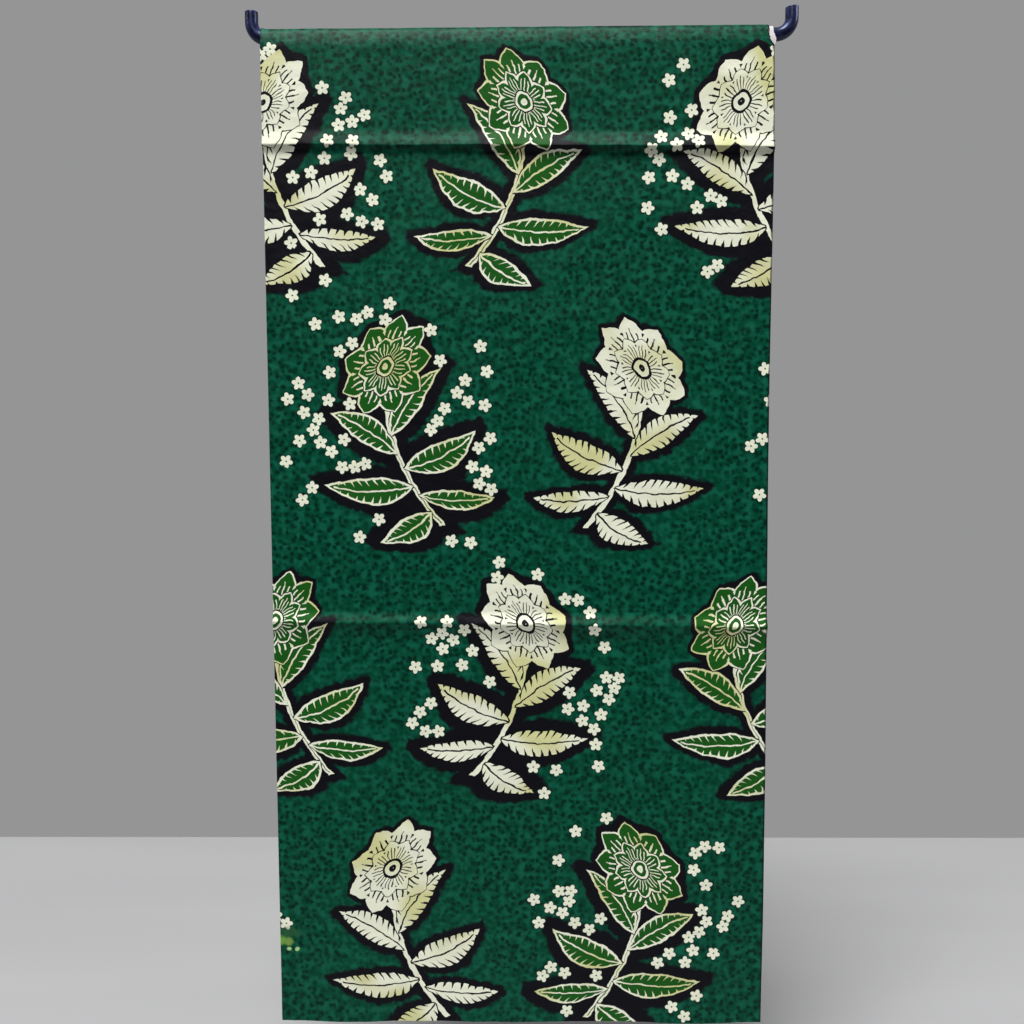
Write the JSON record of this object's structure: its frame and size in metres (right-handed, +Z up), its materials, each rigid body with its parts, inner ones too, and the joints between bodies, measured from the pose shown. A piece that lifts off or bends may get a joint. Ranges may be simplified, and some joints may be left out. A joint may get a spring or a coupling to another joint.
{
  "type": "wax print fabric on a display bar",
  "caption": "Wax print cotton folded lengthwise and hung flat over a display bar with upturned ends, a long fall in front, a shorter one behind, pressed fold ridges across.",
  "frame": {"origin": "middle of the display bar's axis, halfway between its upturned ends", "axes": "+X along the bar to the viewer's right, +Z up, and -Y the way the show side of the cloth faces"},
  "size_m": [0.626, 0.0332, 1.19],
  "materials": {
    "painted_tube": "glossy dark navy paint",
    "wax_print": "waxed cotton print, soft sheen"
  },
  "bodies": {
    "root": {"display_bar": "painted_tube", "cloth_turn_over_bar": "wax_print", "cloth_front_fall": "wax_print", "cloth_back_fall": "wax_print"}
  },
  "joints": []
}
